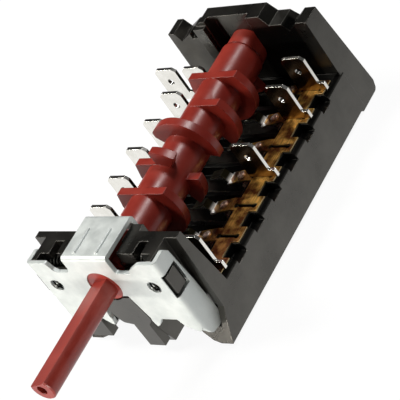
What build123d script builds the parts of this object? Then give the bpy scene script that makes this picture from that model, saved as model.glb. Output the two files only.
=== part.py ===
"""Rotary oven selector switch: a cam shaft in an open moulded frame works a row of spring contacts.

All lengths are millimetres. The shaft lies along Y with its knob end towards minus Y, X is to the
right seen from the knob end and Z is up. The origin lies on the shaft line, in the front face of
the mounting plate, midway between the two tapped fixing holes.
"""
import os
from math import atan, cos, degrees, hypot, radians, sin

from build123d import *

os.makedirs("parts", exist_ok=True)

# Fits and clearances
running_gap = 0.05
seat_gap = 0.05
free_gap = 0.3
slide_gap = 0.08

# Switching levels along the shaft
level_count = 7
level_pitch = 8.6
first_level_y = 13.2
cam_offset = 0.35
finger_offset = 0.5

# Spindle
spindle_radius = 3.0
spindle_reach = 27.2
spindle_flat_height = 4.6
spindle_flat_angle = 107.0
spindle_bore_radius = 1.2
spindle_bore_depth = 8.0
spindle_tip_bevel = 0.3

# Cam shaft body
collar_radius = 4.15
collar_setback = 0.2
tube_radius = 5.0
cam_radius = 8.45
cam_width = 2.0
end_journal_radius = 4.6
end_journal_depth = 4.2
groove_depth = 0.3
groove_width = 0.9

# Index wheel and detent
wheel_radius = 6.0
wheel_width = 3.0
wheel_front_gap = 2.0
notch_count = 12
notch_radius = 1.1
notch_depth = 0.55
nose_radius = 0.85
slider_width = 2.6
slider_height = 3.4
slider_length = 4.4
slider_stem_radius = 0.8
slider_stem_length = 2.6
slider_travel = 0.5
spring_radius = 1.4
spring_wire_radius = 0.27
spring_turns = 4.5

# Mounting plate
plate_thickness = 1.0
plate_top_z = 7.0
fixing_spacing = 28.0
fixing_margin = 4.5
fixing_hole_radius = 1.65
fixing_collar_radius = 2.6
fixing_collar_depth = 0.8
strap_left_x = -6.8
strap_right_x = 6.0
strap_top_z = 8.7
strap_rear_y = 12.2
strap_leg = 3.4
strap_bend_radius = 1.5
flange_bend_radius = 1.3
inner_bend_radius = 0.3
strap_rib_width = 0.8
strap_rib_height = 0.35
flange_depth = 5.9
window_depth = 4.9
window_bottom_z = -3.4
window_top_z = 3.0

# Moulded frame
frame_side_step = 1.9
wall_top_z = 7.0
base_top_z = -9.4
base_bottom_z = -20.7
rear_foot_depth = 0.8
front_wall_y = 6.8
front_wall_rear_top_y = 9.1
front_wall_rear_base_y = 11.0
block_side_gap = 0.4
block_bottom_z = -10.5
wheel_room_radius = 6.35
detent_recess_depth = 1.9
detent_recess_z = 3.0
spring_end_wall = 1.3
spring_cover_gap = 2.2
rear_slot_depth = 1.5
rear_slot_step = 1.5
bearing_boss_half_width = 9.0
rear_room = 5.0
rear_wall_thickness = 4.7
rear_wall_draft = 3.1
rear_middle_z = 9.0
rear_side_z = 6.2
trough_left_gap = 0.7
trough_right_gap = 0.2
trough_floor_z = -13.0
rail_bevel = 0.9
rail_pocket_length = 3.9
rail_pocket_reach = 3.1
rail_pocket_depth = 1.9
barrier_thickness = 1.2
barrier_height = 2.6
cell_roof_z = -15.2
cell_columns = 4
cell_wall = 1.4
side_wall = 1.8
catch_height = 1.6
flange_slot_gap = 0.2

# Tab terminals
tab_width = 6.3
tab_thickness = 0.8
tab_tip_z = 0.8
tab_tip_bevel = 0.9
tab_hole_radius = 0.85
tab_hole_drop = 3.8
tab_rail_margin = 1.9
shoulder_reach = 1.5
shoulder_height = 2.0
tab_root_width = 4.8
right_tab_levels = (1, 4, 6, 7)
pair_spacing = 8.4
pair_shift = 1.1
pair_drop = 0.6
pair_bridge_height = 2.2

# Contact comb, fixed strips and rivets
comb_thickness = 0.4
comb_rail_gap = 0.8
comb_rail_margin = 3.3
comb_tab_margin = 1.2
comb_tab_width = 4.2
finger_width = 3.5
finger_bend_gap = 0.6
finger_tip_x = 5.5
finger_drop = 1.1
tongue_width = 2.2
follower_x = 4.3
follower_rise = 1.95
tongue_end_x = 0.8
tongue_end_rise = 1.1
strip_thickness = 0.6
strip_width = 3.6
strip_end_gap = 1.3
strip_foot_width = 2.7
contact_x = 9.1
rivet_shank_radius = 0.6
rivet_head_radius = 1.0
rivet_head_height = 0.35
contact_head_radius = 1.2
contact_head_height = 0.7

# Places worked out from the sizes above
plate_half_width = fixing_spacing / 2 + fixing_margin
frame_half_width = plate_half_width + frame_side_step
block_half_width = plate_half_width - plate_thickness - block_side_gap
tab_inner_x = frame_half_width - tab_rail_margin - tab_width
trough_left_x = trough_left_gap - tab_inner_x
trough_right_x = tab_inner_x - trough_right_gap
rail_pocket_inner_x = frame_half_width - rail_pocket_reach
comb_rail_inner_x = tab_inner_x + comb_rail_gap
comb_rail_outer_x = frame_half_width - comb_rail_margin
comb_tab_outer_x = frame_half_width - comb_tab_margin
finger_bend_x = trough_right_x - finger_bend_gap
strip_end_x = trough_right_x - strip_end_gap
last_level_y = first_level_y + level_pitch * (level_count - 1)
level_ys = [first_level_y + level_pitch * index for index in range(level_count)]
rear_wall_y = last_level_y + rear_room
rear_wall_back_y = rear_wall_y + rear_wall_thickness
plate_hole_radius = collar_radius + running_gap
strap_underside_z = strap_top_z - plate_thickness
wheel_front_y = plate_thickness + wheel_front_gap
wheel_rear_y = wheel_front_y + wheel_width
comb_top_z = base_top_z + comb_thickness
detent_z = (wheel_radius + notch_radius - notch_depth) * sin(radians(30))
nose_x = (wheel_radius + notch_radius - notch_depth) * cos(radians(30)) + 0.1
slider_y = wheel_front_y + wheel_width / 2
slider_back_x = nose_x + slider_length
spring_front_x = slider_back_x + slider_travel + 0.1
spring_back_x = block_half_width - spring_end_wall
strip_top_z = trough_floor_z + strip_thickness


def between(start, end, share):
    """Value that lies a share of the way from start to end."""
    return start + (end - start) * share


def block(x0, x1, y0, y1, z0, z1):
    """Upright box between two corners."""
    return Pos((x0 + x1) / 2, (y0 + y1) / 2, (z0 + z1) / 2) * Box(x1 - x0, y1 - y0, z1 - z0)


def rod(radius, y0, y1, x=0.0, z=0.0):
    """Round bar along Y."""
    return Pos(x, (y0 + y1) / 2, z) * Rot(90, 0, 0) * Cylinder(radius, y1 - y0)


def bar(radius, x0, x1, y, z):
    """Round bar along X."""
    return Pos((x0 + x1) / 2, y, z) * Rot(0, 90, 0) * Cylinder(radius, x1 - x0)


def post(radius, z0, z1, x, y):
    """Round bar along Z."""
    return Pos(x, y, (z0 + z1) / 2) * Cylinder(radius, z1 - z0)


def outline(plane, points, rounds=None):
    """Flat face from corner points, with the corners listed in rounds made round."""
    radii = [0.0] * len(points)
    for index, radius in (rounds or {}).items():
        radii[index] = radius
    return plane * make_face(FilletPolyline(*points, radius=radii, close=True))


def along_x(points, x0, x1, rounds=None):
    """Prism along X from a Y and Z outline."""
    return extrude(Pos(x0, 0, 0) * outline(Plane.YZ, points, rounds), amount=x1 - x0, dir=(1, 0, 0))


def along_y(points, y0, y1, rounds=None):
    """Prism along Y from an X and Z outline."""
    return extrude(Pos(0, y0, 0) * outline(Plane.XZ, points, rounds), amount=y1 - y0, dir=(0, 1, 0))


def along_z(points, z0, z1, rounds=None):
    """Prism along Z from an X and Y outline."""
    return extrude(Pos(0, 0, z0) * outline(Plane.XY, points, rounds), amount=z1 - z0, dir=(0, 0, 1))


def save(shape, name):
    """Write one piece, or one group of identical pieces, as a STEP file."""
    shape.label = name
    export_step(shape, "parts/" + name + ".step")


def ribbon(path, thickness, y0, y1):
    """Sheet strip of even thickness that follows a bent path in X and Z."""
    upper = []
    lower = []
    for index, (x, z) in enumerate(path):
        before = path[max(index - 1, 0)]
        after = path[min(index + 1, len(path) - 1)]
        here = path[index]
        first = (here[0] - before[0], here[1] - before[1]) if index > 0 else None
        second = (after[0] - here[0], after[1] - here[1]) if index < len(path) - 1 else None
        normals = []
        for step in (first, second):
            if step is not None:
                length = hypot(*step)
                normals.append((-step[1] / length, step[0] / length))
        nx = sum(normal[0] for normal in normals) / len(normals)
        nz = sum(normal[1] for normal in normals) / len(normals)
        scale = thickness / 2 / (nx * nx + nz * nz)
        upper.append((x + nx * scale, z + nz * scale))
        lower.append((x - nx * scale, z - nz * scale))
    return along_y(upper + lower[::-1], y0, y1)


def wedge(start, end, reach=14.0):
    """X and Z corners of a pie slice of the shaft section, from angle start to angle end."""
    count = max(2, int(abs(end - start) // 20) + 1)
    points = [(0.0, 0.0)]
    for step in range(count + 1):
        angle = radians(start + (end - start) * step / count)
        points.append((reach * cos(angle), reach * sin(angle)))
    return points


# Cam outlines seen from the front: what each level keeps of the full cam disc
right_lobe = [(-1.0, tube_radius), (14.0, tube_radius), (14.0, -9.0), (0.0, -14.0), (0.0, 0.0)]
short_right_lobe = [(-1.0, tube_radius), (14.0, tube_radius), (14.0, -14.0), (7.0, -14.0), (0.0, 0.0)]
left_tooth = [(0.0, tube_radius), (-6.4, tube_radius), (-7.3, 1.2), (-7.2, -2.4), (0.0, -2.4)]
upper_lobe = [(0.0, 0.0), (-4.8, 3.2), (-6.0, 4.5), (-6.0, 9.5), (9.5, 9.5), (14.0, -3.6)]
upright_tooth = [(-0.2, 0.0), (-0.2, 12.0), (10.8, 12.0)]
side_tooth = [(0.0, 0.1), (14.0, 0.1), (14.0, -14.0), (8.0, -14.0)]
level_cams = [
    [wedge(-60, -150)],
    [right_lobe, left_tooth],
    [left_tooth, upright_tooth, side_tooth],
    [upper_lobe],
    [short_right_lobe],
    [right_lobe, left_tooth],
    [wedge(-75, -140)],
]

# Cam shaft: spindle, collar in the plate hole, index wheel, tube, cams and end journal
shaft_front_y = plate_thickness + 0.1
groove_y = rear_wall_y - 3.3
journal_end_y = rear_wall_y + end_journal_depth
spindle = rod(spindle_radius, -spindle_reach, collar_setback)
spindle = chamfer(spindle.edges().sort_by(Axis.Y)[0], spindle_tip_bevel)
flat_length = spindle_reach + collar_setback
flat_cutter = Pos(0, -spindle_reach + flat_length / 2, 0) * Rot(0, 90 - spindle_flat_angle, 0)
flat_offset = spindle_flat_height - spindle_radius
flat_cutter = flat_cutter * Pos(0, 0, flat_offset + 2.0) * Box(8.0, flat_length, 4.0)
spindle = spindle - flat_cutter
camshaft = spindle + rod(collar_radius, collar_setback, shaft_front_y)
camshaft = camshaft + rod(tube_radius, shaft_front_y, groove_y)
camshaft = camshaft + rod(end_journal_radius - groove_depth, groove_y, groove_y + groove_width + 0.5)
camshaft = camshaft + rod(end_journal_radius, groove_y + groove_width, journal_end_y)
wheel = rod(wheel_radius, wheel_front_y, wheel_rear_y)
for index in range(notch_count):
    turn = radians(360 / notch_count * index)
    reach = wheel_radius + notch_radius - notch_depth
    wheel = wheel - rod(notch_radius, wheel_front_y - 1, wheel_rear_y + 1, reach * cos(turn), reach * sin(turn))
camshaft = camshaft + wheel
for index, cams in enumerate(level_cams[:level_count]):
    cam_y = level_ys[index] + cam_offset
    disc = rod(cam_radius, cam_y - cam_width / 2, cam_y + cam_width / 2)
    for points in cams:
        camshaft = camshaft + (disc & along_y(points, cam_y - cam_width, cam_y + cam_width))
camshaft = camshaft - rod(spindle_bore_radius, -spindle_reach - 1, -spindle_reach + spindle_bore_depth)
save(camshaft, "camshaft")

# Mounting plate: front sheet with the spindle hole and the slot below it
floor_z = 4.1
left_x = -plate_half_width
right_x = plate_half_width
slot_x = 7.0
sheet_points = [
    (left_x, -12.0), (left_x, plate_top_z - 0.1), (between(strap_left_x, left_x, 0.496), plate_top_z),
    (between(strap_left_x, left_x, 0.427), floor_z + 0.8), (between(strap_left_x, left_x, 0.342), floor_z),
    (strap_left_x, floor_z), (strap_left_x, strap_top_z), (strap_right_x, strap_top_z),
    (strap_right_x, floor_z), (between(strap_right_x, right_x, 0.328), floor_z),
    (between(strap_right_x, right_x, 0.36), floor_z + 1.0),
    (between(strap_right_x, right_x, 0.592), plate_top_z - 0.2),
    (between(strap_right_x, right_x, 0.816), plate_top_z), (right_x, plate_top_z - 0.1),
    (right_x, -12.0), (right_x - 0.9, -14.3), (between(slot_x, right_x, 0.626), -12.3),
    (between(slot_x, right_x, 0.539), -10.2), (between(slot_x, right_x, 0.165), -10.2),
    (slot_x, -12.4), (6.2, -12.7), (5.8, -11.0),
    (6.0, -10.0), (4.5, -3.0), (-4.5, -3.0), (-6.0, -10.0), (-5.8, -11.0), (-6.2, -12.7),
    (-slot_x, -12.4), (between(-slot_x, left_x, 0.165), -10.2), (between(-slot_x, left_x, 0.765), -10.2),
    (between(-slot_x, left_x, 0.8), -12.8), (left_x + 0.9, -14.3),
]
sheet_rounds = {1: 0.8, 2: 0.5, 3: 0.6, 4: 0.5, 5: 1.8, 8: 0.7, 11: 2.5, 15: 0.8, 16: 0.8, 32: 0.6}
channel_y = flange_depth + 2.0
inner_half = plate_half_width - plate_thickness
channel = along_z(
    [
        (-plate_half_width, 0.0), (plate_half_width, 0.0), (plate_half_width, channel_y),
        (inner_half, channel_y), (inner_half, plate_thickness), (-inner_half, plate_thickness),
        (-inner_half, channel_y), (-plate_half_width, channel_y),
    ],
    -30.0, 30.0, {0: flange_bend_radius, 1: flange_bend_radius, 4: inner_bend_radius, 5: inner_bend_radius},
)
plate = channel & along_y(sheet_points, -1.0, plate_thickness, sheet_rounds)
flange_points = [
    (0.0, plate_top_z - 0.1), (4.2, plate_top_z - 0.1), (flange_depth - 0.7, 5.6), (flange_depth, -3.8),
    (flange_depth + 0.3, -14.6), (flange_depth - 1.4, -16.7), (1.4, -16.0), (0.0, -12.0),
]
flange_rounds = {1: 1.0, 2: 0.6, 4: 1.2, 5: 1.4, 6: 1.2}
flange_slice_x = inner_half - 0.6
for side in (-1, 1):
    near_x = side * (plate_half_width + 1.0)
    far_x = side * flange_slice_x
    flange = along_x(flange_points, min(near_x, far_x), max(near_x, far_x), flange_rounds)
    plate = plate + (channel & flange)
    plate = plate - block(
        min(near_x, far_x), max(near_x, far_x), plate_thickness * 0.2, window_depth, window_bottom_z, window_top_z
    )
strap = block(strap_left_x, strap_right_x, 0.0, strap_rear_y, strap_underside_z, strap_top_z)
leg_front_y = strap_rear_y - plate_thickness
strap_leg_bottom_z = strap_top_z - strap_leg
strap = strap + block(strap_left_x, strap_right_x, leg_front_y, strap_rear_y, strap_leg_bottom_z, strap_top_z)
plate = plate + strap
top_edges = plate.edges().filter_by(Axis.X).filter_by_position(Axis.Z, strap_top_z - 0.01, strap_top_z + 0.01)
plate = fillet([top_edges.sort_by(Axis.Y)[0], top_edges.sort_by(Axis.Y)[-1]], strap_bend_radius * 0.6)
for rib_x in (-3.6, 2.7):
    rib = block(
        rib_x - strap_rib_width / 2, rib_x + strap_rib_width / 2, strap_bend_radius, leg_front_y - 3.0,
        strap_top_z - 0.2, strap_top_z + strap_rib_height,
    )
    rib_edges = rib.edges().filter_by(Axis.Y).group_by(Axis.Z)[-1]
    plate = plate + fillet(rib_edges, strap_rib_height * 0.8)
plate = plate - rod(plate_hole_radius, -1.0, plate_thickness + 1.0)
for side in (-1, 1):
    collar = rod(fixing_collar_radius, plate_thickness / 2, plate_thickness + fixing_collar_depth)
    plate = plate + Pos(side * fixing_spacing / 2, 0, 0) * collar
    plate = plate - rod(
        fixing_hole_radius, -1.0, plate_thickness + fixing_collar_depth + 1.0, side * fixing_spacing / 2
    )
save(plate, "mounting_plate")

# Moulded frame: front wall with a sloping foot at each end and an arch between the feet
front_wall_points = [
    (front_wall_y + 0.5, wall_top_z), (front_wall_rear_top_y, wall_top_z),
    (front_wall_rear_base_y, base_top_z), (front_wall_rear_base_y + 1.2, base_bottom_z),
    (2.4, base_bottom_z), (4.7, base_bottom_z + 4.9), (front_wall_y - 0.5, base_bottom_z + 7.5),
    (front_wall_y - 0.3, -9.0), (front_wall_y, -3.0),
]
frame = along_x(front_wall_points, -frame_half_width, frame_half_width)
arch_half = [(3.2, 0.0), (5.2, 0.6), (7.4, 2.1), (10.4, 5.0), (12.8, 7.0)]
arch_points = [(frame_half_width - inset, base_bottom_z + rise) for inset, rise in arch_half]
arch_points = [(arch_points[0][0], base_bottom_z - 1)] + arch_points
arch_points = arch_points + [(-x, z) for x, z in reversed(arch_points)]
frame = frame - along_y(arch_points, 0.0, front_wall_rear_base_y - 0.5)
for side in (-1, 1):
    slot_x0 = min(side * (inner_half - flange_slot_gap), side * (plate_half_width + flange_slot_gap))
    slot_x1 = max(side * (inner_half - flange_slot_gap), side * (plate_half_width + flange_slot_gap))
    frame = frame - block(slot_x0, slot_x1, 0.0, flange_depth + 0.7, -17.1, -9.0)
base_front_y = front_wall_rear_base_y - 0.5
frame = frame + along_y(
    [
        (-frame_half_width, base_bottom_z), (frame_half_width, base_bottom_z),
        (frame_half_width, base_top_z - rail_bevel), (frame_half_width - rail_bevel, base_top_z),
        (-frame_half_width + rail_bevel, base_top_z), (-frame_half_width, base_top_z - rail_bevel),
    ],
    base_front_y, rear_wall_y + 1.0,
)

# Moulded frame: front block around the index wheel
frame = frame + block(
    -block_half_width, block_half_width, plate_thickness, front_wall_y + 1.0, block_bottom_z, wall_top_z
)
boss_rear_y = leg_front_y - 0.15
frame = frame + block(
    -bearing_boss_half_width, bearing_boss_half_width, front_wall_y, boss_rear_y, base_top_z, wall_top_z
)

# Moulded frame: rear wall with the stepped top edge
rear_bottom_z = base_bottom_z - rear_foot_depth
rear_wall_points = [
    (rear_wall_y, rear_middle_z), (rear_wall_back_y, rear_middle_z),
    (rear_wall_back_y + rear_wall_draft, base_bottom_z + 1.4),
    (rear_wall_back_y + rear_wall_draft * 0.75, rear_bottom_z), (rear_wall_y, rear_bottom_z),
]
rear_half_width = frame_half_width - 0.2
rear_wall = along_x(rear_wall_points, -rear_half_width, rear_half_width, {2: 1.4, 3: 1.2})
rear_left_x = -9.0
rear_right_x = 9.8
rear_top_points = [
    (-frame_half_width - 1, rear_bottom_z - 1), (-frame_half_width - 1, rear_side_z),
    (between(rear_left_x, -frame_half_width, 0.825), rear_side_z),
    (between(rear_left_x, -frame_half_width, 0.737), rear_side_z - 2.4),
    (between(rear_left_x, -frame_half_width, 0.377), rear_side_z),
    (between(rear_left_x, -frame_half_width, 0.316), rear_side_z + 0.1), (rear_left_x, rear_middle_z),
    (rear_right_x - 1.4, rear_middle_z), (rear_right_x, rear_side_z),
    (between(rear_right_x, frame_half_width, 0.32), rear_side_z),
    (between(rear_right_x, frame_half_width, 0.453), rear_side_z - 2.0),
    (between(rear_right_x, frame_half_width, 0.708), rear_side_z), (frame_half_width + 1, rear_side_z),
    (frame_half_width + 1, rear_bottom_z - 1),
]
frame = frame + (rear_wall & along_y(rear_top_points, rear_wall_y - 1, rear_wall_back_y + 9))
frame = frame + block(-10.6, -7.6, rear_wall_y - 1.3, rear_wall_y + 1, base_top_z, rear_middle_z - 1.1)
frame = frame - block(-13.8, -10.6, rear_wall_y - 1, rear_wall_y + 2.2, 4.3, rear_middle_z)
slot_rear_y = rear_wall_y + rear_slot_depth
frame = frame - block(-7.4, 4.6, rear_wall_y - 0.2, slot_rear_y, -1.0, rear_middle_z + 1)
frame = frame - block(-7.4, -4.6, slot_rear_y - 0.4, slot_rear_y + rear_slot_step, -1.0, rear_middle_z - 0.6)

# Moulded frame: bearings for the shaft and room for the index wheel
bearing_radius = tube_radius + running_gap
bearing_slot_x = wheel_room_radius - 0.25
wheel_room_rear_y = wheel_rear_y + 0.3
frame = frame - rod(wheel_room_radius, plate_thickness - 1, wheel_room_rear_y)
frame = frame - block(
    -wheel_room_radius, wheel_room_radius, plate_thickness - 1, wheel_room_rear_y, 0.0, wall_top_z + 1
)
frame = frame - rod(bearing_radius, wheel_rear_y, boss_rear_y + 1)
frame = frame - along_y(
    [(-bearing_radius, 0.0), (bearing_radius, 0.0), (bearing_radius, 4.0), (bearing_slot_x, wall_top_z + 1),
     (-bearing_slot_x, wall_top_z + 1), (-bearing_radius, 4.0)],
    wheel_rear_y, boss_rear_y + 1,
)
frame = frame - rod(end_journal_radius + running_gap, rear_wall_y - 3, journal_end_y + 0.15)

# Moulded frame: pockets for the detent sliders and their springs, open at the top
guide_z0 = detent_z - slider_height / 2 - slide_gap
guide_z1 = detent_z + slider_height / 2 + slide_gap
guide_y0 = slider_y - slider_width / 2 - slide_gap
guide_y1 = slider_y + slider_width / 2 + slide_gap
coil_room = spring_radius + spring_wire_radius + 0.15
tunnel_end_x = slider_back_x + slider_travel + 0.4
recess_y = plate_thickness + detent_recess_depth
for side in (-1, 1):
    slide_room = block(wheel_room_radius - 1, tunnel_end_x, guide_y0, guide_y1, guide_z0, guide_z1)
    spring_room = block(
        tunnel_end_x - 0.2, spring_back_x, slider_y - coil_room, slider_y + coil_room, detent_z - coil_room,
        detent_z + coil_room,
    )
    spring_room = spring_room + block(
        tunnel_end_x - 0.2, tunnel_end_x + spring_cover_gap, slider_y - coil_room, slider_y + coil_room,
        detent_z, wall_top_z + 1,
    )
    recess = block(
        wheel_room_radius - 1, spring_back_x, plate_thickness - 1, recess_y, detent_recess_z, wall_top_z + 1
    )
    rooms = slide_room + spring_room + recess
    frame = frame - (rooms if side > 0 else mirror(rooms, about=Plane.YZ))

# Moulded frame: recesses behind the extruded threads of the plate
for side in (-1, 1):
    hole_x = side * fixing_spacing / 2
    frame = frame - rod(fixing_collar_radius + 0.2, 0.0, plate_thickness + fixing_collar_depth + 0.3, hole_x)

# Moulded frame: catches that snap into the windows of the plate
catch_points = [
    (0.6, window_bottom_z + 1.0), (0.6, window_top_z - 0.4), (window_depth - 1.0, window_top_z - 0.4),
    (window_depth - 1.0, window_bottom_z + 1.0),
]
for side in (-1, 1):
    x0 = min(side * (block_half_width - 0.05), side * (block_half_width + catch_height))
    x1 = max(side * (block_half_width - 0.05), side * (block_half_width + catch_height))
    frame = frame + along_x(catch_points, x0, x1)

# Moulded frame: tongue in the slot of the plate, centre prong, centre foot and left prong
tongue = along_y(
    [
        (-4.5, -3.6), (4.5, -3.6), (5.75, -10.0), (5.45, -11.0), (4.0, -12.4), (4.0, -19.2), (-0.5, -19.2),
        (-0.5, -12.4), (-3.1, -11.8), (-4.9, -7.9),
    ],
    0.0, 2.0, {8: 1.5, 9: 2.0},
)
tongue = tongue - rod(plate_hole_radius + 0.2, -1.0, plate_thickness + 0.05)
tongue = tongue - rod(wheel_room_radius, plate_thickness, 8.0)
frame = frame + tongue
foot_points = [
    (1.1, -10.0), (1.3, -15.0), (2.7, base_bottom_z), (8.0, base_bottom_z), (8.0, -10.0),
]
frame = frame + along_x(foot_points, -0.5, 4.2)
prong_points = [(1.05, -9.6), (1.05, -10.4), (0.2, -10.6), (0.2, -16.9), (2.4, -16.9), (2.4, -9.6)]
frame = frame + along_x(prong_points, 1.6 - block_half_width, 7.3 - block_half_width)

# Moulded frame: trough under the shaft, channels for the fixed strips and barriers between the levels
trough_y0 = front_wall_rear_base_y + 0.2
trough_y1 = rear_wall_y - 0.6
frame = frame - block(trough_left_x, trough_right_x, trough_y0, trough_y1, trough_floor_z, base_top_z + 1)
for level_y in level_ys[:-1]:
    barrier_y = level_y + finger_offset + level_pitch / 2
    frame = frame + block(
        trough_left_x - 0.5, trough_right_x + 0.5, barrier_y - barrier_thickness / 2,
        barrier_y + barrier_thickness / 2, trough_floor_z - 0.5, trough_floor_z + barrier_height,
    )
strip_y0 = -tab_thickness / 2
strip_y1 = strip_y0 + strip_foot_width
for level_y in level_ys:
    frame = frame - block(
        -tab_inner_x - tab_width - seat_gap, trough_left_x + 0.5, level_y + strip_y0 - seat_gap,
        level_y + strip_y1 + seat_gap, trough_floor_z, base_top_z + 1,
    )

# Moulded frame: slots for the right terminals and pockets along both rails
root_x0 = tab_inner_x + (tab_width - tab_root_width) / 2
root_x1 = root_x0 + tab_root_width
root_bottom_z = trough_floor_z
for level_y in level_ys:
    frame = frame - block(
        root_x0 - seat_gap, root_x1 + seat_gap, level_y - tab_thickness / 2 - seat_gap,
        level_y + tab_thickness / 2 + seat_gap, root_bottom_z, base_top_z + 1,
    )
for level_y in level_ys[:-1]:
    pocket_y = level_y + finger_offset + level_pitch / 2
    for side in (-1, 1):
        x0 = min(side * rail_pocket_inner_x, side * (frame_half_width + 1))
        x1 = max(side * rail_pocket_inner_x, side * (frame_half_width + 1))
        frame = frame - block(
            x0, x1, pocket_y - rail_pocket_length / 2, pocket_y + rail_pocket_length / 2,
            base_top_z - rail_pocket_depth, base_top_z + 1,
        )

# Moulded frame: hollow cells in the underside keep the walls even
cell_width = (2 * frame_half_width - 2 * side_wall - cell_wall * (cell_columns - 1)) / cell_columns
cell_y0 = front_wall_rear_base_y + 2.6
cell_step = (rear_wall_y - cell_y0) / level_count
for row in range(level_count):
    for column in range(cell_columns):
        x0 = -frame_half_width + side_wall + column * (cell_width + cell_wall)
        y0 = cell_y0 + row * cell_step
        frame = frame - block(x0, x0 + cell_width, y0, y0 + cell_step - cell_wall, base_bottom_z - 2, cell_roof_z)
save(frame, "housing")

# Detent sliders: square body, rounded nose and a stem inside the spring
slider = block(
    nose_x, slider_back_x, slider_y - slider_width / 2, slider_y + slider_width / 2,
    detent_z - slider_height / 2, detent_z + slider_height / 2,
)
slider = slider & along_y(
    [
        (nose_x - 1, detent_z - nose_radius), (nose_x, detent_z - nose_radius),
        (nose_x + 1.2, detent_z - slider_height), (slider_back_x + 1, detent_z - slider_height),
        (slider_back_x + 1, detent_z + slider_height), (nose_x + 1.2, detent_z + slider_height),
        (nose_x, detent_z + nose_radius), (nose_x - 1, detent_z + nose_radius),
    ],
    slider_y - slider_width, slider_y + slider_width,
)
slider = slider + rod(nose_radius, slider_y - slider_width / 2, slider_y + slider_width / 2, nose_x, detent_z)
slider = slider + bar(slider_stem_radius, slider_back_x - 0.5, slider_back_x + slider_stem_length, slider_y, detent_z)
save(slider, "detent_slider_right")
save(mirror(slider, about=Plane.YZ), "detent_slider_left")

# Detent springs: plain coils between the slider and the end of its pocket
spring_length = spring_back_x - spring_front_x - 2 * spring_wire_radius
coil_pitch = spring_length / spring_turns
coil_path = Helix(
    coil_pitch, spring_length, spring_radius,
    center=(spring_front_x + spring_wire_radius, slider_y, detent_z), direction=(1, 0, 0),
)
coil_section = Plane(coil_path @ 0, z_dir=coil_path % 0) * Circle(spring_wire_radius)
spring = sweep(coil_section, path=coil_path)
save(spring, "detent_spring_right")
save(mirror(spring, about=Plane.YZ), "detent_spring_left")


def tab_blade(x0, level_y, z_root, z_tip=tab_tip_z):
    """Upright tab with a bevelled tip and the dimple hole, standing across the shaft line."""
    x1 = x0 + tab_width
    points = [
        (x0, z_root), (x1, z_root), (x1, z_tip - tab_tip_bevel), (x1 - tab_tip_bevel, z_tip),
        (x0 + tab_tip_bevel, z_tip), (x0, z_tip - tab_tip_bevel),
    ]
    y0 = level_y - tab_thickness / 2
    tab = along_y(points, y0, y0 + tab_thickness)
    return tab - rod(tab_hole_radius, y0 - 1, y0 + tab_thickness + 1, x0 + tab_width / 2, z_tip - tab_hole_drop)


# Right terminals: each stands on the comb and plugs through it into the frame
for number in right_tab_levels:
    level_y = level_ys[number - 1]
    tab = tab_blade(tab_inner_x, level_y, comb_top_z)
    tab = tab + block(
        tab_inner_x, tab_inner_x + tab_width + shoulder_reach, level_y - tab_thickness / 2,
        level_y + tab_thickness / 2, comb_top_z, comb_top_z + shoulder_height,
    )
    tab = tab + block(
        root_x0, root_x1, level_y - tab_thickness / 2, level_y + tab_thickness / 2, root_bottom_z, comb_top_z + 0.5
    )
    save(tab, "terminal_right_" + str(number))

# Left terminals: tab and fixed contact strip folded from one stamping, the rear one with a pair of tabs
for number in range(1, level_count + 1):
    level_y = level_ys[number - 1]
    x0 = -tab_inner_x - tab_width
    strip_mid_y = level_y + finger_offset
    strip = block(x0, trough_left_x, level_y + strip_y0, level_y + strip_y1, trough_floor_z, strip_top_z)
    strip = strip + block(
        trough_left_x, strip_end_x, strip_mid_y - strip_width / 2, strip_mid_y + strip_width / 2,
        trough_floor_z, strip_top_z,
    )
    if number < level_count:
        tab = strip + tab_blade(x0, level_y, trough_floor_z)
    else:
        bridge_z = base_top_z + seat_gap
        stem = block(
            x0, x0 + tab_width, level_y - tab_thickness / 2, level_y + tab_thickness / 2, trough_floor_z, bridge_z
        )
        bridge = block(
            x0 + pair_shift - pair_spacing, x0 + pair_shift + tab_width, level_y - tab_thickness / 2,
            level_y + tab_thickness / 2, bridge_z, bridge_z + pair_bridge_height,
        )
        tab = strip + stem + bridge
        for pair_x in (x0 + pair_shift, x0 + pair_shift - pair_spacing):
            tab = tab + tab_blade(pair_x, level_y, bridge_z, tab_tip_z - pair_drop)
    tab = tab - post(rivet_shank_radius + 0.03, trough_floor_z - 1, strip_top_z + 1, contact_x, strip_mid_y)
    save(tab, "terminal_left_" + str(number))

# Contact comb: rail with end tabs, slots for the terminals, fingers with hooked tips and tongues
comb_y0 = first_level_y + finger_offset - comb_tab_width / 2
comb_y1 = last_level_y + finger_offset + comb_tab_width / 2
comb = block(comb_rail_inner_x, comb_rail_outer_x, comb_y0, comb_y1, base_top_z, comb_top_z)
strip_z = (base_top_z + comb_top_z) / 2
tip_z = strip_z - finger_drop
finger_path = [(comb_rail_inner_x + 0.3, strip_z), (finger_bend_x, strip_z), (finger_tip_x, tip_z)]
tongue_path = [
    (finger_tip_x + 0.6, tip_z + 0.6 * finger_drop / (finger_bend_x - finger_tip_x)), (finger_tip_x, tip_z),
    (follower_x, tip_z + follower_rise), (tongue_end_x, tip_z + tongue_end_rise),
]
for level_y in level_ys:
    finger_y = level_y + finger_offset
    comb = comb + block(
        comb_rail_outer_x - 1, comb_tab_outer_x, finger_y - comb_tab_width / 2, finger_y + comb_tab_width / 2,
        base_top_z, comb_top_z,
    )
    comb = comb + ribbon(finger_path, comb_thickness, finger_y - finger_width / 2, finger_y + finger_width / 2)
    comb = comb + ribbon(tongue_path, comb_thickness, finger_y - tongue_width / 2, finger_y + tongue_width / 2)
finger_slope = finger_drop / (finger_bend_x - finger_tip_x)
contact_z = strip_z - (finger_bend_x - contact_x) * finger_slope
finger_turn = Rot(0, -degrees(atan(finger_slope)), 0)
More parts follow.
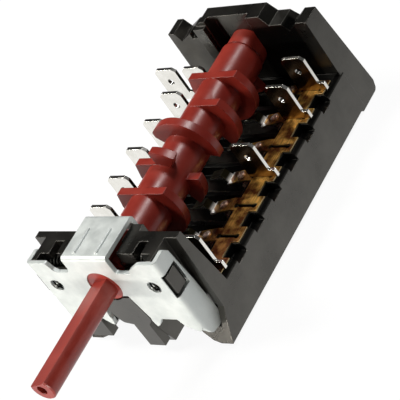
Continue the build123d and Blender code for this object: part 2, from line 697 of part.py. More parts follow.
for level_y in level_ys:
    comb = comb - block(
        root_x0 - seat_gap, root_x1 + seat_gap, level_y - tab_thickness / 2 - seat_gap,
        level_y + tab_thickness / 2 + seat_gap, base_top_z - 1, comb_top_z + 1,
    )
    for end_x in (root_x0 - 0.1, root_x1 + 0.1):
        comb = comb - post(0.65, base_top_z - 1, comb_top_z + 1, end_x, level_y)
    rivet_place = Pos(contact_x, level_y + finger_offset, contact_z) * finger_turn
    comb = comb - rivet_place * Cylinder(rivet_shank_radius + 0.03, comb_thickness * 5)
save(comb, "contact_spring_comb")

# Contact rivets: heads on both faces of the fingers and buttons on the fixed strips
spring_rivets = []
fixed_rivets = []
for level_y in level_ys:
    rivet_y = level_y + finger_offset
    rivet = post(rivet_shank_radius, -comb_thickness / 2, comb_thickness / 2, 0.0, 0.0)
    rivet = rivet + post(
        rivet_head_radius, comb_thickness / 2, comb_thickness / 2 + rivet_head_height, 0.0, 0.0
    )
    rivet = rivet + post(
        contact_head_radius, -comb_thickness / 2 - contact_head_height, -comb_thickness / 2, 0.0, 0.0
    )
    rivet = Pos(contact_x, rivet_y, contact_z) * finger_turn * rivet
    spring_rivets.append(rivet)
    button = post(rivet_shank_radius, trough_floor_z, strip_top_z, contact_x, rivet_y)
    button = button + post(
        contact_head_radius, strip_top_z, strip_top_z + contact_head_height, contact_x, rivet_y
    )
    fixed_rivets.append(button)
save(Compound(children=spring_rivets), "spring_contact_rivets")
save(Compound(children=fixed_rivets), "fixed_contact_rivets")
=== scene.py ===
"""Looks of a rotary oven switch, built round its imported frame: finishes, small pieces, light and camera."""
from math import pi, radians

import bpy
from bpy.props import FloatProperty, FloatVectorProperty, PointerProperty
from bpy.types import Operator, Panel, PropertyGroup
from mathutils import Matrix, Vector


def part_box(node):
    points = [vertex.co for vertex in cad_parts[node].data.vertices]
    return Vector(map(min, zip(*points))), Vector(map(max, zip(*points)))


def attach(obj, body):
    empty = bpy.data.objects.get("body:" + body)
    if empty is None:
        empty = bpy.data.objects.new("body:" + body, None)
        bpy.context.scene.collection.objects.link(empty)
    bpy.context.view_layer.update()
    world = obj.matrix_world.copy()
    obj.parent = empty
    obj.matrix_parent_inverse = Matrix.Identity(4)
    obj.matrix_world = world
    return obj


bl_info = {
    "name": "Rotary Oven Switch",
    "version": (1, 0, 0),
    "blender": (4, 5, 0),
    "location": "3D View > Sidebar > Oven Switch",
    "description": "Dresses the frame of a rotary oven switch with its finishes and small pieces",
    "category": "Object",
}

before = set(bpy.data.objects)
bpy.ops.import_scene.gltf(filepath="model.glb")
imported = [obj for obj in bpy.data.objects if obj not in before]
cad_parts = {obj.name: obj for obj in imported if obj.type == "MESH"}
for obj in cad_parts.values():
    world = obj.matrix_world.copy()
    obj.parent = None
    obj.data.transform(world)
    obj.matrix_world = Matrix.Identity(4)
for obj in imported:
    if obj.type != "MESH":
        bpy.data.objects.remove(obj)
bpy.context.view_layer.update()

MM = 0.001
PLATE_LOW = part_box("mounting_plate")[0]
HOUSING_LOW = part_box("housing")[0]
COMB_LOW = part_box("contact_spring_comb")[0]

LEVEL_COUNT = 7
LEVEL_PITCH = 8.6 * MM
LEFT_TERMINALS = ["terminal_left_%d" % number for number in range(1, LEVEL_COUNT + 1)]
RIGHT_TERMINALS = ["terminal_right_%d" % number for number in (1, 4, 6, 7)]

# Grain and soft edges, which every finish has
GRAIN_HEIGHT = 0.05 * MM
EDGE_SAMPLES = 4

# Boxes where shade is painted on the frame, by their lowest and highest corners in millimetres, and how
# softly they end
TROUGH_MM = (-11.8, 8.8, -14.0), (20.2, 70.2, -9.1)
TROUGH_SOFT_MM = 0.3
REAR_FACE_MM = (3.0, 69.0, -9.6), (16.5, 73.2, 6.0)
REAR_FACE_SOFT_MM = 0.8

# Where a painted shade, a painted highlight or a tone starts to show and where it is full, along an axis in
# millimetres
STRIP_SHADE_MM = -11.7, -12.3
COMB_FRONT_TONE_MM = COMB_LOW.y / MM + 16, COMB_LOW.y / MM + 4
FOLD_LINE_MM = 6.0, 5.8
FOLD_CORNER_MM = 7.2, 7.0
HOOKED_TIP_MM = 5.4, 5.1

# Front edge of the first spring finger, and how the streaks of rolling are drawn out along the strip
FIRST_FINGER_FRONT = 11.95 * MM
ROLLED_STRETCH = (1, 0.08, 1)

# Thread turns of a fixing hole
RIB_SIDES = 3
RIB_RADIUS = 0.34 * MM
THREAD_TURNS = 2
STEPS_PER_TURN = 40
THREAD_START = PLATE_LOW.y + 0.22 * MM

# Closing head of a contact rivet: its place on the first finger, and its form as shares of its sizes
CLOSING_HEAD_PLACE = Vector((8.999, 13.7, -9.083)) * MM
FINGER_TILT = -radians(10.56)
HEAD_SIDES = 28
UPRIGHT_SHARE = 0.6
TOP_SHARE = 0.78
DIMPLE_DEPTH_SHARE = 0.7
DIMPLE_FLOOR_SHARE = 0.5
HEAD_EDGE_RADIUS = 0.09 * MM
HEAD_EDGE_STEPS = 3
HEAD_EDGE_ANGLE = radians(20)
HEAD_SMOOTH_ANGLE = radians(50)

# Studio, in metres
FLOOR_RADIUS = 2.4
FLOOR_SIDES = 64
FLOOR_CENTRE_Y = 0.03
FLOOR_GAP = 0.2 * MM
FLOOR_GLOW = 0.93
FLOOR_GLOW_CENTRE = (-0.1, -0.08, 0)
FLOOR_GLOW_NEAR, FLOOR_GLOW_FAR = 0.1, 0.42
FLOOR_FAR_LEVEL = 0.05
CAMERA_NEAR = 0.01
MIDDLE_OF_SWITCH = (0, 0.025, 0)
FRONT_OF_SWITCH = (0, 0, 0)

# Name of each lamp, then its place, target, width, height and colour
LAMPS = (
    ("main_lamp", (-0.5, -0.11, 0.61), MIDDLE_OF_SWITCH, 0.3, 0.3, "#fffdf8"),
    ("rear_lamp", (0.185, 0.4, 0.68), MIDDLE_OF_SWITCH, 0.18, 0.18, "#ffffff"),
    ("front_lamp", (-0.274, -0.727, 0.0), FRONT_OF_SWITCH, 0.3, 0.06, "#fffaf2"),
    ("right_lamp", (0.245, -0.75, 0.0), FRONT_OF_SWITCH, 0.3, 0.06, "#fffaf2"),
)

# What colour and length properties have in common
COLOUR = {"subtype": "COLOR", "size": 4, "min": 0.0, "max": 1.0}
LENGTH = {"unit": "LENGTH", "precision": 5}


def linear(hex_colour):
    """Linear colour with alpha from an sRGB hex value."""
    values = [int(hex_colour[place:place + 2], 16) / 255 for place in (1, 3, 5)]
    return tuple(v / 12.92 if v <= 0.04045 else ((v + 0.055) / 1.055) ** 2.4 for v in values) + (1.0,)


def add_node(tree, kind, settings):
    """One shader node with its settings and links.

    A key is a setting of the node, or a socket by its name, or by its number where names repeat. A value is
    plain, a hex colour, or the socket that is linked there.
    """
    node = tree.nodes.new("ShaderNode" + kind)
    for name, value in settings.items():
        if isinstance(name, str) and hasattr(node, name):
            setattr(node, name, value)
        elif isinstance(value, bpy.types.NodeSocket):
            tree.links.new(value, node.inputs[name])
        else:
            node.inputs[name].default_value = linear(value) if isinstance(value, str) else value
    return node


def new_material(name):
    """Empty material, its node tree, and the place on the piece that its patterns follow."""
    material = bpy.data.materials.new(name)
    material.use_nodes = True
    tree = material.node_tree
    tree.nodes.clear()
    return material, tree, add_node(tree, "TexCoord", {}).outputs["Object"]


def mottled(tree, place, patch_mm, dark, pale, low=0.35, high=0.65, detail=4.0):
    """Colour that drifts between two tones in patches of a real size, and the pattern behind it."""
    patches = add_node(tree, "TexNoise", {
        "Scale": 1 / (patch_mm * MM), "Detail": detail, "Roughness": 0.6, "Vector": place,
    })
    spread = add_node(tree, "MapRange", {"From Min": low, "From Max": high, "Value": patches.outputs["Fac"]})
    pattern = spread.outputs["Result"]
    tone = add_node(tree, "Mix", {"data_type": "RGBA", "Factor": pattern, "A": dark, "B": pale})
    return tone.outputs["Result"], pattern


def facing(tree, axis, low, high):
    """Share of a surface that faces along an axis, either way."""
    normal = add_node(tree, "NewGeometry", {}).outputs["Normal"]
    part = add_node(tree, "SeparateXYZ", {0: normal}).outputs[axis]
    size = add_node(tree, "Math", {"operation": "ABSOLUTE", 0: part})
    share = add_node(tree, "MapRange", {"From Min": low, "From Max": high, "Value": size.outputs[0]})
    return share.outputs["Result"]


def along(tree, place, axis, start_mm, end_mm):
    """Share that grows from 0 to 1 between two places on an axis."""
    part = add_node(tree, "SeparateXYZ", {0: place}).outputs[axis]
    share = add_node(tree, "MapRange", {"From Min": start_mm * MM, "From Max": end_mm * MM, "Value": part})
    return share.outputs["Result"]


def inside(tree, place, low, high, soft_mm):
    """Share that is 1 within a box given in millimetres and fades out over its edges."""
    share = 1.0
    for axis, start, end in zip("XYZ", low, high):
        for edge, step in ((start, soft_mm), (end, -soft_mm)):
            part = along(tree, place, axis, edge - step / 2, edge + step / 2)
            share = add_node(tree, "Math", {"operation": "MULTIPLY", 0: share, 1: part}).outputs[0]
    return share


def layered(tree, colour, layers):
    """Colour with other tones laid over it in turn, each by its own share."""
    for share, tone in layers:
        over = add_node(tree, "Mix", {"data_type": "RGBA", "Factor": share, "A": colour, "B": tone})
        colour = over.outputs["Result"]
    return colour


def surface(tree, place, pattern, smooth, rough, grain_mm, grain_strength, edge_mm, settings):
    """Surface whose roughness follows a pattern, with fine grain over softly rounded edges."""
    roughness = add_node(tree, "MapRange", {"To Min": smooth, "To Max": rough, "Value": pattern})
    rounded = add_node(tree, "Bevel", {"samples": EDGE_SAMPLES, "Radius": edge_mm * MM})
    # the real grain is too fine to show, so it is drawn coarser
    dots = add_node(tree, "TexNoise", {"Scale": 1 / (grain_mm * MM), "Detail": 2.0, "Vector": place})
    bump = add_node(tree, "Bump", {
        "Strength": grain_strength, "Distance": GRAIN_HEIGHT,
        "Height": dots.outputs["Fac"], "Normal": rounded.outputs["Normal"],
    })
    shader = add_node(tree, "BsdfPrincipled", {
        "Roughness": roughness.outputs["Result"], "Normal": bump.outputs["Normal"], **settings,
    })
    add_node(tree, "OutputMaterial", {"Surface": shader.outputs["BSDF"]})


def even_finish(name, patch_mm, dark, pale, settings, **texture):
    """Material whose finish is the same all over its piece."""
    material, tree, place = new_material(name)
    colour, pattern = mottled(tree, place, patch_mm, dark, pale)
    surface(tree, place, pattern, settings={"Base Color": colour, **settings}, **texture)
    return material


class SwitchColours(PropertyGroup):
    """Two tones of each broad finish, between which its colour drifts."""
    frame_dark: FloatVectorProperty(
        name="Frame, dark", description="Darker tone of the moulded frame", default=linear("#0d0c0b"),
        **COLOUR
    )
    frame_pale: FloatVectorProperty(
        name="Frame, pale", description="Paler tone of the moulded frame", default=linear("#1b1a18"),
        **COLOUR
    )
    shaft_dark: FloatVectorProperty(
        name="Shaft, dark", description="Darker tone of the cam shaft", default=linear("#8f2a20"), **COLOUR
    )
    shaft_pale: FloatVectorProperty(
        name="Shaft, pale", description="Paler tone of the cam shaft", default=linear("#9f3427"), **COLOUR
    )
    plate_dark: FloatVectorProperty(
        name="Plate, dark", description="Darker tone of the front plate", default=linear("#d6dcda"),
        **COLOUR
    )
    plate_pale: FloatVectorProperty(
        name="Plate, pale", description="Paler tone of the front plate", default=linear("#e4e9e7"), **COLOUR
    )
    comb_dark: FloatVectorProperty(
        name="Comb, dark", description="Tarnished tone of the contact springs", default=linear("#84522a"),
        **COLOUR
    )
    comb_pale: FloatVectorProperty(
        name="Comb, pale", description="Bright tone of the contact springs", default=linear("#fcc868"),
        **COLOUR
    )
    terminal_dark: FloatVectorProperty(
        name="Terminals, dark", description="Darker tone of the tab terminals", default=linear("#e4e2da"),
        **COLOUR
    )
    terminal_pale: FloatVectorProperty(
        name="Terminals, pale", description="Paler tone of the tab terminals", default=linear("#f4f2ec"),
        **COLOUR
    )


def black_nylon(colours):
    """Black glass-filled nylon, injection moulded: charcoal, faint grain, soft sheen on broad faces."""
    material, tree, place = new_material("black_glass_filled_nylon")
    colour, pattern = mottled(tree, place, patch_mm=9.0, dark=colours.frame_dark, pale=colours.frame_pale)
    # painted shade darkens the trough and the inner face of the rear wall, and lowers their gloss
    trough = inside(tree, place, *TROUGH_MM, TROUGH_SOFT_MM)
    rear = inside(tree, place, *REAR_FACE_MM, REAR_FACE_SOFT_MM)
    painted_shade = add_node(tree, "Math", {"operation": "MAXIMUM", 0: trough, 1: rear}).outputs[0]
    sheen = add_node(tree, "MapRange", {"To Min": 0.76, "To Max": 1.0, "Value": pattern}).outputs["Result"]
    gloss = add_node(tree, "MapRange", {"To Min": sheen, "To Max": 0.12, "Value": painted_shade}).outputs["Result"]
    surface(
        tree, place, pattern, smooth=0.26, rough=0.34, grain_mm=0.45, grain_strength=0.22, edge_mm=0.22,
        settings={
            "Base Color": layered(tree, colour, [(painted_shade, "#060606")]), "IOR": 1.53,
            "Specular Tint": "#fffaee", "Specular IOR Level": gloss,
        },
    )
    return material


def red_polyester(colours):
    """Red-brown glass-filled polyester, moulded: even brick tone with a low gloss."""
    return even_finish(
        "red_brown_filled_polyester", patch_mm=6.0, dark=colours.shaft_dark, pale=colours.shaft_pale,
        settings={"IOR": 1.57, "Specular IOR Level": 0.48},
        smooth=0.3, rough=0.42, grain_mm=0.5, grain_strength=0.2, edge_mm=0.2,
    )


def zinc_plated_steel(colours):
    """Cold-rolled steel sheet, bright zinc plated: pale grey-white with a faint cloudy bloom."""
    return even_finish(
        "zinc_plated_steel", patch_mm=4.0, dark=colours.plate_dark, pale=colours.plate_pale,
        settings={"Metallic": 0.45},
        smooth=0.42, rough=0.56, grain_mm=0.6, grain_strength=0.1, edge_mm=0.25,
    )


def tapped_steel():
    """Steel tapped through its plating: darker grey than the plate, partly as bare steel and partly as
    painted shade of the deep hole, with bright flanks.
    """
    return even_finish(
        "tapped_steel", patch_mm=0.8, dark="#5d5f5e", pale="#8f9291", settings={"Metallic": 1.0},
        smooth=0.2, rough=0.34, grain_mm=0.3, grain_strength=0.1, edge_mm=0.04,
    )


def painted_fold_highlight(tree, place):
    """Share of a finger where a highlight is painted: a line at its fold, and a triangle at its front corner.
    """
    line = along(tree, place, "X", *FOLD_LINE_MM)
    parts = add_node(tree, "SeparateXYZ", {0: place}).outputs
    start = add_node(tree, "Math", {"operation": "SUBTRACT", 0: parts["Y"], 1: FIRST_FINGER_FRONT})
    step = add_node(tree, "Math", {"operation": "FLOORED_MODULO", 0: start.outputs[0], 1: LEVEL_PITCH})
    slant = add_node(tree, "Math", {"operation": "ADD", 0: parts["X"], 1: step.outputs[0]})
    outer_mm, inner_mm = FOLD_CORNER_MM
    corner = add_node(tree, "MapRange", {
        "From Min": outer_mm * MM, "From Max": inner_mm * MM, "Value": slant.outputs[0],
    })
    both = add_node(tree, "Math", {"operation": "MAXIMUM", 0: line, 1: corner.outputs["Result"]})
    return both.outputs[0]


def spring_brass(colours):
    """Rolled spring brass, stamped: brown tarnish over yellow, with pale cut sides."""
    material, tree, place = new_material("rolled_spring_brass")
    colour, pattern = mottled(
        tree, place, patch_mm=3.0, dark=colours.comb_dark, pale=colours.comb_pale, low=0.4, high=0.6
    )
    # the rolls leave faint streaks along the strip
    rolled = add_node(tree, "VectorMath", {"operation": "MULTIPLY", 0: place, 1: ROLLED_STRETCH}).outputs[0]
    streaks = mottled(
        tree, rolled, patch_mm=0.35, dark="#5a5248", pale="#ffffff", low=0.38, high=0.6, detail=1.0
    )[0]
    streaked = add_node(tree, "Mix", {
        "data_type": "RGBA", "blend_type": "MULTIPLY", "Factor": 0.4, "A": colour, "B": streaks,
    })
    # the comb is redder and browner towards the front
    front_red_brown = layered(tree, "#7c462c", [(pattern, "#b47a4a")])
    # a silver highlight is painted on the fold, and painted shade darkens the hooked tips beyond it, which
    # keep pale cut sides
    fold = painted_fold_highlight(tree, place)
    # share of the hooked tips, where shade is painted
    shaded_tip = along(tree, place, "X", *HOOKED_TIP_MM)
    shaded_hook = layered(tree, "#4a4532", [(facing(tree, "Y", low=0.5, high=0.8), "#e9e6da")])
    colour = layered(tree, streaked.outputs["Result"], [
        (along(tree, place, "Y", *COMB_FRONT_TONE_MM), front_red_brown),
        (facing(tree, "Z", low=0.75, high=0.35), "#c9b184"),
        (fold, "#f8f6f0"),
        (shaded_tip, shaded_hook),
    ])
    # the painted fold highlight is less metallic, so that its pale colour shows
    fold_highlight_share = add_node(tree, "Math", {"operation": "SUBTRACT", "use_clamp": True, 0: fold, 1: shaded_tip})
    metal = add_node(tree, "MapRange", {"To Min": 1.0, "To Max": 0.25, "Value": fold_highlight_share.outputs[0]})
    surface(
        tree, place, pattern, smooth=0.28, rough=0.42, grain_mm=0.4, grain_strength=0.1, edge_mm=0.05,
        settings={"Base Color": colour, "Metallic": metal.outputs["Result"]},
    )
    return material


def tinned_brass(name, colours, shaded_face=None):
    """Brass strip, tin plated and stamped: bright silver, or darker on its rolled faces where painted shade
    is given.
    """
    material, tree, place = new_material(name)
    colour, pattern = mottled(
        tree, place, patch_mm=2.5, dark=colours.terminal_dark, pale=colours.terminal_pale, low=0.3, high=0.7
    )
    layers = [(facing(tree, "Y", low=0.6, high=0.9), shaded_face)] if shaded_face else []
    # painted shade makes the contact strips down in the trough nearly black
    layers.append((along(tree, place, "Z", *STRIP_SHADE_MM), "#17120e"))
    surface(
        tree, place, pattern, smooth=0.14, rough=0.26, grain_mm=0.5, grain_strength=0.08, edge_mm=0.12,
        settings={"Base Color": layered(tree, colour, layers), "Metallic": 1.0},
    )
    return material


def contact_silver():
    """Silver-faced copper rivet, headed cold: pale metal with a pinkish cast."""
    return even_finish(
        "silver_faced_copper", patch_mm=1.2, dark="#d09e84", pale="#fae6d6", settings={"Metallic": 0.7},
        smooth=0.2, rough=0.35, grain_mm=0.3, grain_strength=0.1, edge_mm=0.1,
    )


def spring_wire():
    """Hard-drawn spring steel wire, oiled: dark grey metal with a bright line along each turn."""
    return even_finish(
        "drawn_spring_steel", patch_mm=1.5, dark="#6e6c68", pale="#9b9892", settings={"Metallic": 1.0},
        smooth=0.22, rough=0.36, grain_mm=0.2, grain_strength=0.1, edge_mm=0.03,
    )


def black_acetal():
    """Black acetal, moulded: dense black with a waxy gloss."""
    return even_finish(
        "black_acetal", patch_mm=2.0, dark="#1b1b1a", pale="#262624", settings={"IOR": 1.48},
        smooth=0.3, rough=0.42, grain_mm=0.3, grain_strength=0.1, edge_mm=0.15,
    )


def dress(names, material):
    """Gives CAD nodes a material on every slot they have."""
    for name in names:
        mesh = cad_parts[name].data
        if not mesh.materials:
            mesh.materials.append(material)
        for place in range(len(mesh.materials)):
            mesh.materials[place] = material


class OVENSWITCH_OT_finishes(Operator):
    """Give every solid of the frame the finish of its real material"""
    bl_idname = "ovenswitch.finishes"
    bl_label = "Finishes of the frame"

    def execute(self, context):
        colours = context.scene.oven_switch_colours
        dress(["housing"], black_nylon(colours))
        dress(["camshaft"], red_polyester(colours))
        dress(["mounting_plate"], zinc_plated_steel(colours))
        dress(["contact_spring_comb"], spring_brass(colours))
        dress(LEFT_TERMINALS, tinned_brass("tin_plated_brass", colours))
        # the right terminals' rolled faces are painted dark, standing for shade and the dark housing that
        # they reflect
        dress(RIGHT_TERMINALS, tinned_brass("tarnished_tin_plated_brass", colours, shaded_face="#7a6650"))
        dress(["spring_contact_rivets", "fixed_contact_rivets"], contact_silver())
        dress(["detent_spring_right", "detent_spring_left"], spring_wire())
        dress(["detent_slider_right", "detent_slider_left"], black_acetal())
        return {"FINISHED"}


def pick(piece):
    """Selects one piece alone, so that an operator acts on nothing else."""
    bpy.ops.object.select_all(action="DESELECT")
    piece.select_set(True)
    bpy.context.view_layer.objects.active = piece


def copy_of(piece):
    """Copy of a piece, with its own mesh."""
    pick(piece)
    bpy.ops.object.duplicate(linked=False)
    return bpy.context.object


def finish_piece(piece, name, material, body):
    """Names a piece, settles its place in its mesh, and tells the frame what carries it."""
    pick(piece)
    bpy.ops.object.transform_apply(location=True, rotation=True, scale=True)
    piece.name = name
    piece.data.name = name
    piece.data.materials.clear()
    piece.data.materials.append(material)
    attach(piece, body)


class SwitchThreads(PropertyGroup):
    """Tapped holes that the switch is fixed by."""
    hole_spacing: FloatProperty(
        name="Hole spacing", description="Between the two tapped holes", default=28 * MM, **LENGTH
    )
    root_radius: FloatProperty(
        name="Root radius", description="Outer radius of the thread", default=1.72 * MM, **LENGTH
    )
    crest_radius: FloatProperty(
        name="Crest radius", description="Inner radius of the thread", default=1.42 * MM, **LENGTH
    )
    pitch: FloatProperty(name="Pitch", description="Advance for each turn", default=0.7 * MM, **LENGTH)


class OVENSWITCH_OT_threads(Operator):
    """Cut the thread turns in the two fixing holes of the plate"""
    bl_idname = "ovenswitch.threads"
    bl_label = "Threads of the fixing holes"

    def execute(self, context):
        sizes = context.scene.oven_switch_threads
        middle = (sizes.root_radius + sizes.crest_radius) / 2
        bpy.ops.object.select_all(action="DESELECT")
        bpy.ops.mesh.primitive_circle_add(vertices=RIB_SIDES, radius=RIB_RADIUS, fill_type="NOTHING")
        thread = context.object
        bpy.ops.object.mode_set(mode="EDIT")
        bpy.ops.mesh.select_all(action="SELECT")
        bpy.ops.transform.rotate(value=pi / 2, orient_axis="Z", center_override=(0, 0, 0))
        bpy.ops.transform.translate(value=(middle, 0, 0))
        bpy.ops.object.mode_set(mode="OBJECT")
        turn = thread.modifiers.new("turns", "SCREW")
        turn.axis = "Y"
        turn.screw_offset = sizes.pitch
        turn.iterations = THREAD_TURNS
        turn.steps = turn.render_steps = STEPS_PER_TURN
        turn.use_merge_vertices = False
        bpy.ops.object.modifier_apply(modifier=turn.name)
        # the two open ends of the rib are closed
        bpy.ops.object.mode_set(mode="EDIT")
        bpy.ops.mesh.select_mode(type="EDGE")
        bpy.ops.mesh.select_all(action="DESELECT")
        bpy.ops.mesh.select_non_manifold()
        bpy.ops.mesh.fill_holes(sides=RIB_SIDES)
        bpy.ops.mesh.select_all(action="SELECT")
        bpy.ops.mesh.normals_make_consistent(inside=False)
        bpy.ops.object.mode_set(mode="OBJECT")
        finish = tapped_steel()
        for side, way, piece in (("left", -1, thread), ("right", 1, copy_of(thread))):
            piece.location = (way * sizes.hole_spacing / 2, THREAD_START, 0)
            finish_piece(piece, "fixing_thread_" + side, finish, "frame")
        return {"FINISHED"}


class SwitchRivets(PropertyGroup):
    """Closing heads of the contact rivets."""
    head_radius: FloatProperty(
        name="Head radius", description="Of the upset end of a rivet", default=0.96 * MM, **LENGTH
    )
    head_rise: FloatProperty(
        name="Head rise", description="Of the head over its finger", default=0.2 * MM, **LENGTH
    )
    dimple_radius: FloatProperty(
        name="Dimple radius", description="Of the hollow that the punch leaves", default=0.42 * MM, **LENGTH
    )


class OVENSWITCH_OT_rivet_heads(Operator):
    """Upset the closing heads of the seven spring contact rivets"""
    bl_idname = "ovenswitch.rivet_heads"
    bl_label = "Closing heads of the contact rivets"

    def execute(self, context):
        sizes = context.scene.oven_switch_rivets
        rise = sizes.head_rise
        rim = sizes.head_radius * TOP_SHARE - sizes.dimple_radius
        bpy.ops.object.select_all(action="DESELECT")
        bpy.ops.mesh.primitive_circle_add(vertices=HEAD_SIDES, radius=sizes.head_radius, fill_type="NGON")
        head = context.object
        bpy.ops.object.mode_set(mode="EDIT")
        bpy.ops.mesh.select_mode(type="FACE")
        bpy.ops.mesh.select_all(action="SELECT")
        # an upright wall, then a taper up to the flat top
        for share in (UPRIGHT_SHARE, 1 - UPRIGHT_SHARE):
            bpy.ops.mesh.extrude_region_move(TRANSFORM_OT_translate={"value": (0, 0, rise * share)})
        bpy.ops.transform.resize(value=(TOP_SHARE, TOP_SHARE, 1), center_override=(0, 0, rise))
        bpy.ops.mesh.inset(thickness=rim)
        depth = rise * DIMPLE_DEPTH_SHARE
        bpy.ops.mesh.extrude_region_move(TRANSFORM_OT_translate={"value": (0, 0, -depth)})
        bpy.ops.transform.resize(
            value=(DIMPLE_FLOOR_SHARE, DIMPLE_FLOOR_SHARE, 1), center_override=(0, 0, rise - depth)
        )
        bpy.ops.mesh.select_all(action="SELECT")
        bpy.ops.mesh.normals_make_consistent(inside=False)
        bpy.ops.object.mode_set(mode="OBJECT")
        soft = head.modifiers.new("rounded", "BEVEL")
        soft.width = HEAD_EDGE_RADIUS
        soft.segments = HEAD_EDGE_STEPS
        soft.limit_method = "ANGLE"
        soft.angle_limit = HEAD_EDGE_ANGLE
        bpy.ops.object.modifier_apply(modifier=soft.name)
        bpy.ops.object.shade_smooth_by_angle(angle=HEAD_SMOOTH_ANGLE)
        # the closing heads are the other ends of the contact rivets, so they share their finish
        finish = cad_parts["spring_contact_rivets"].data.materials[0]
        heads = [head] + [copy_of(head) for level in range(1, LEVEL_COUNT)]
        for level, piece in enumerate(heads):
            piece.rotation_euler = (0, FINGER_TILT, 0)
            piece.location = CLOSING_HEAD_PLACE + Vector((0, level * LEVEL_PITCH, 0))
            finish_piece(piece, "rivet_closing_head_%d" % (level + 1), finish, "frame")
        return {"FINISHED"}


class SwitchStage(PropertyGroup):
    """Light and camera of the studio."""
    camera_place: FloatVectorProperty(
        name="Camera place", description="Where the camera stands", subtype="TRANSLATION", unit="LENGTH",
        default=(0.294126, -0.190222, 0.233985),
    )
    camera_turn: FloatVectorProperty(
        name="Camera turn", description="Tilt, roll and heading of the camera", subtype="EULER",
        default=(radians(50.462), radians(29.960), radians(30.364)),
    )
    camera_lens: FloatProperty(
        name="Lens", description="Focal length of the camera", default=182.63, unit="CAMERA"
    )
    sky_level: FloatProperty(
        name="Sky level", description="Strength of the even light all round", default=0.05
    )
    ceiling_level: FloatProperty(
        name="Ceiling level", description="Brightness of the room above, as gloss shows it", default=0.03
    )
    main_lamp: FloatProperty(
        name="Main lamp", description="Power of the broad lamp at the left", default=5.8, unit="POWER"
    )
    rear_lamp: FloatProperty(
        name="Rear lamp", description="Power of the small lamp behind", default=2.3, unit="POWER"
    )
    front_lamp: FloatProperty(
        name="Front lamp", description="Power of the low lamp at the front left", default=3.5, unit="POWER"
    )
    right_lamp: FloatProperty(
        name="Right lamp", description="Power of the low lamp at the front right", default=3.6, unit="POWER"
    )


def ray_kinds(tree):
    """Shares of the rays that come from the camera, and from gloss or a clear piece."""
    path = add_node(tree, "LightPath", {}).outputs
    gloss = add_node(tree, "Math", {
        "operation": "MAXIMUM", 0: path["Is Glossy Ray"], 1: path["Is Transmission Ray"],
    })
    return path["Is Camera Ray"], gloss.outputs[0]


def pale_floor():
    """Matt floor, white to the camera with a faint shadow. In gloss it fades away from the front left."""
    material, tree, place = new_material("pale_floor")
    camera, gloss = ray_kinds(tree)
    matt = add_node(tree, "BsdfDiffuse", {"Color": "#9c9c9c"})
    reach = add_node(tree, "VectorMath", {"operation": "DISTANCE", 0: place, 1: FLOOR_GLOW_CENTRE})
    fall = add_node(tree, "MapRange", {
        "interpolation_type": "SMOOTHSTEP", "Value": reach.outputs["Value"],
        "From Min": FLOOR_GLOW_NEAR, "From Max": FLOOR_GLOW_FAR, "To Min": 1.0, "To Max": FLOOR_FAR_LEVEL,
    })
    mirrored = add_node(tree, "Emission", {"Color": "#ffffff", "Strength": fall.outputs["Result"]})
    unseen = add_node(tree, "MixShader", {0: gloss, 1: matt.outputs[0], 2: mirrored.outputs[0]})
    shadowed = add_node(tree, "BsdfDiffuse", {"Color": "#595959"})
    glow = add_node(tree, "Emission", {"Color": "#ffffff", "Strength": FLOOR_GLOW})
    seen = add_node(tree, "AddShader", {0: shadowed.outputs[0], 1: glow.outputs[0]})
    shown = add_node(tree, "MixShader", {0: camera, 1: unseen.outputs[0], 2: seen.outputs[0]})
    add_node(tree, "OutputMaterial", {"Surface": shown.outputs[0]})
    return material


def light_world(world, stage):
    """Even light all round, white to the camera and a dim ceiling in gloss."""
    world.use_nodes = True
    tree = world.node_tree
    tree.nodes.clear()
    camera, gloss = ray_kinds(tree)
    unseen = add_node(tree, "Mix", {
        "data_type": "FLOAT", "Factor": gloss, "A": stage.sky_level, "B": stage.ceiling_level,
    })
    level = add_node(tree, "Mix", {
        "data_type": "FLOAT", "Factor": camera, "A": unseen.outputs["Result"], "B": 1.0,
    })
    sky = add_node(tree, "Background", {"Color": "#ffffff", "Strength": level.outputs["Result"]})
    add_node(tree, "OutputWorld", {"Surface": sky.outputs[0]})


def add_lamp(name, place, target, width, height, colour, watts):
    """Soft lamp that points at a target."""
    bpy.ops.object.light_add(type="AREA", location=place)
    lamp = bpy.context.object
    lamp.name = name
    lamp.data.shape = "RECTANGLE"
    lamp.data.size = width
    lamp.data.size_y = height
    lamp.data.energy = watts
    lamp.data.color = linear(colour)[:3]
    lamp.rotation_euler = (Vector(target) - Vector(place)).to_track_quat("-Z", "Y").to_euler()


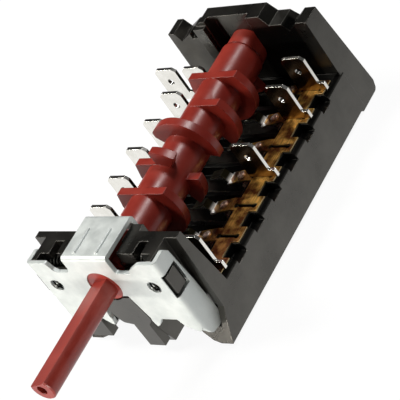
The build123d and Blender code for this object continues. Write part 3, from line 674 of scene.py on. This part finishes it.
class OVENSWITCH_OT_stage(Operator):
    """Set the pale floor, the soft studio light and the camera"""
    bl_idname = "ovenswitch.stage"
    bl_label = "Floor, light and camera"

    def execute(self, context):
        stage = context.scene.oven_switch_stage
        bpy.ops.object.select_all(action="DESELECT")
        bpy.ops.mesh.primitive_circle_add(
            vertices=FLOOR_SIDES, radius=FLOOR_RADIUS, fill_type="NGON",
            location=(0, FLOOR_CENTRE_Y, HOUSING_LOW.z - FLOOR_GAP),
        )
        floor = context.object
        floor.name = "studio_floor"
        bpy.ops.object.transform_apply(location=True, rotation=True, scale=True)
        floor.data.materials.append(pale_floor())
        world = context.scene.world or bpy.data.worlds.new("studio")
        context.scene.world = world
        light_world(world, stage)
        for name, *lamp in LAMPS:
            add_lamp(name, *lamp, getattr(stage, name))
        bpy.ops.object.camera_add(location=stage.camera_place, rotation=stage.camera_turn)
        camera = context.object
        camera.name = "photo_camera"
        camera.data.lens = stage.camera_lens
        camera.data.clip_start = CAMERA_NEAR
        context.scene.camera = camera
        context.scene.view_settings.view_transform = "Standard"
        return {"FINISHED"}


class OVENSWITCH_PT_tools(Panel):
    """Sidebar list of the pieces of the switch and their settings"""
    bl_idname = "OVENSWITCH_PT_tools"
    bl_label = "Rotary oven switch"
    bl_space_type = "VIEW_3D"
    bl_region_type = "UI"
    bl_category = "Oven Switch"

    def draw(self, context):
        for step in PIECE_STEPS:
            self.layout.operator("ovenswitch." + step)
        for name, group in SETTINGS.items():
            for setting in group.__annotations__:
                self.layout.prop(getattr(context.scene, name), setting)


PIECE_STEPS = ("finishes", "threads", "rivet_heads", "stage")
SETTINGS = {
    "oven_switch_colours": SwitchColours,
    "oven_switch_threads": SwitchThreads,
    "oven_switch_rivets": SwitchRivets,
    "oven_switch_stage": SwitchStage,
}
CLASSES = (
    *SETTINGS.values(), OVENSWITCH_OT_finishes, OVENSWITCH_OT_threads, OVENSWITCH_OT_rivet_heads,
    OVENSWITCH_OT_stage, OVENSWITCH_PT_tools,
)


def register():
    """Adds the classes, and their settings to the scene."""
    for item in CLASSES:
        bpy.utils.register_class(item)
    for name, group in SETTINGS.items():
        setattr(bpy.types.Scene, name, PointerProperty(type=group))


def unregister():
    """Takes the settings and the classes away again."""
    for name in SETTINGS:
        delattr(bpy.types.Scene, name)
    for item in reversed(CLASSES):
        bpy.utils.unregister_class(item)


def main():
    """Makes the pieces and the stage."""
    register()
    for step in PIECE_STEPS:
        getattr(bpy.ops.ovenswitch, step)()


if __name__ == "__main__":
    main()
